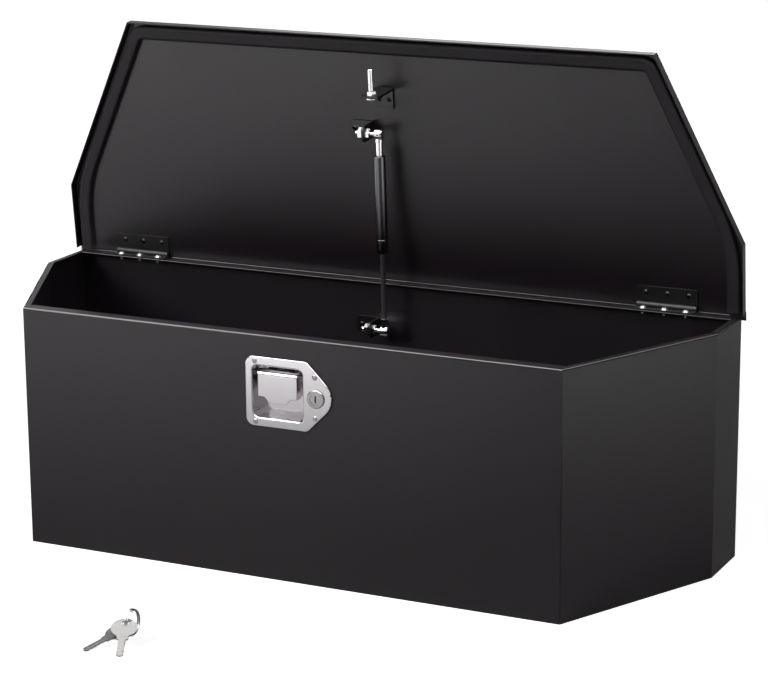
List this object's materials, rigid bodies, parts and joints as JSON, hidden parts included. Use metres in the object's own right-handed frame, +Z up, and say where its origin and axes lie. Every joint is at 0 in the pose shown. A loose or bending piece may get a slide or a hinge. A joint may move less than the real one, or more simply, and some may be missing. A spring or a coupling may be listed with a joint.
{
  "type": "trailer tongue toolbox",
  "caption": "Black steel trailer tongue box with slanted front corners, a gas-strut lid on hinges, a recessed paddle latch, a key lock and loose keys.",
  "frame": {"origin": "middle of the box's underside, where it rests on the trailer's tongue", "axes": "+X to the right along the long back wall, +Y to the back wall with the hinges, +Z up"},
  "size_m": [0.914, 0.6016, 0.6061],
  "materials": {
    "black_powder_coat": "satin black powder coat on steel sheet",
    "black_hinge_steel": "satin black painted steel",
    "black_rubber": "matt black rubber",
    "black_screw": "black oxide steel",
    "bright_screw": "bright plated steel",
    "black_bracket": "satin black painted steel",
    "zinc_hardware": "bright zinc plate",
    "black_strut": "gloss black painted steel",
    "strut_inside": "machined steel",
    "stainless_latch": "polished stainless steel",
    "steel_inside": "plain steel",
    "lock_metal": "plated zinc alloy",
    "key_metal": "nickel plated brass and steel"
  },
  "bodies": {
    "box": {"front_panel": "black_powder_coat", "right_side_panel": "black_powder_coat", "left_side_panel": "black_powder_coat", "back_panel": "black_powder_coat", "floor_panel": "black_powder_coat", "left_hinge_box_leaf": "black_hinge_steel", "right_hinge_box_leaf": "black_hinge_steel", "left_hinge_pin": "black_hinge_steel", "right_hinge_pin": "black_hinge_steel", "latch_gasket": "black_rubber", "lower_bracket_screws": "black_screw", "box_hinge_screws": "bright_screw", "latch_rivets": "bright_screw", "lower_strut_bracket": "black_bracket", "lower_ball_stud": "zinc_hardware", "lower_ball_nut": "zinc_hardware", "latch_plate": "stainless_latch", "paddle_pin": "steel_inside", "paddle_spring": "steel_inside", "catch_bracket": "steel_inside", "catch_pin": "steel_inside", "lock_nut": "steel_inside", "lock_barrel": "lock_metal"},
    "lid": {"lid_panel": "black_powder_coat", "lid_seal": "black_rubber", "lid_hinge_screws": "black_screw", "striker_bracket": "black_bracket", "striker_screws": "black_screw", "striker_stud": "zinc_hardware", "striker_nut": "zinc_hardware", "upper_strut_bracket": "black_bracket", "upper_bracket_screws": "black_screw", "upper_ball_stud": "zinc_hardware", "upper_ball_nut": "zinc_hardware", "left_hinge_lid_leaf": "black_hinge_steel", "right_hinge_lid_leaf": "black_hinge_steel"},
    "strut_rod": {"lower_strut_socket": "zinc_hardware", "strut_rod": "black_strut", "strut_piston": "strut_inside"},
    "strut_tube": {"strut_gland": "strut_inside", "strut_tube": "black_strut", "strut_end_stud": "zinc_hardware", "upper_strut_socket": "zinc_hardware"},
    "paddle": {"paddle": "stainless_latch"},
    "catch": {"catch": "steel_inside"},
    "lock_plug": {"lock_plug": "lock_metal", "lock_cam": "steel_inside", "lock_cam_screw": "steel_inside"},
    "keys": {"key_ring": "key_metal", "first_key": "key_metal", "second_key": "key_metal"}
  },
  "joints": [
    {"name": "lid_hinge", "type": "hinge", "parent": "box", "child": "lid", "pos_m": [0, 0.1508, 0.3], "axis": [1, 0, 0], "range_deg": [0, 84.33], "stiffness_Nm_per_rad": 1.25, "springref_deg": -97.4},
    {"name": "strut_pivot", "type": "hinge", "parent": "box", "child": "strut_rod", "pos_m": [0, 0.1255, 0.238], "axis": [1, 0, 0], "range_deg": [0, 72.52]},
    {"name": "strut_slide", "type": "slide", "parent": "strut_rod", "child": "strut_tube", "axis": [0, 0.0496, -0.9988], "range_m": [0, 0.07928]},
    {"name": "paddle_pull", "type": "hinge", "parent": "box", "child": "paddle", "pos_m": [-0.003, -0.1415, 0.2473], "axis": [-1, 0, 0], "range_deg": [0, 36], "stiffness_Nm_per_rad": 0.15, "springref_deg": -22.92},
    {"name": "catch_swing", "type": "hinge", "parent": "box", "child": "catch", "pos_m": [0.0095, -0.122, 0.234], "axis": [1, 0, 0], "range_deg": [0, 13]},
    {"name": "lock_turn", "type": "hinge", "parent": "box", "child": "lock_plug", "pos_m": [0.0469, -0.1545, 0.2278], "axis": [0, 1, 0], "range_deg": [0, 90]},
    {"name": "keys_lift", "type": "slide", "parent": "box", "child": "keys", "axis": [0, 0, 1], "range_m": [0, 0.1]}
  ],
  "couplings": [
    {"joint": "strut_pivot", "follows": "lid_hinge", "ratio": 0.86},
    {"joint": "strut_slide", "follows": "lid_hinge", "m_per_rad": 0.053864},
    {"joint": "catch_swing", "follows": "paddle_pull", "ratio": 0.36111}
  ]
}
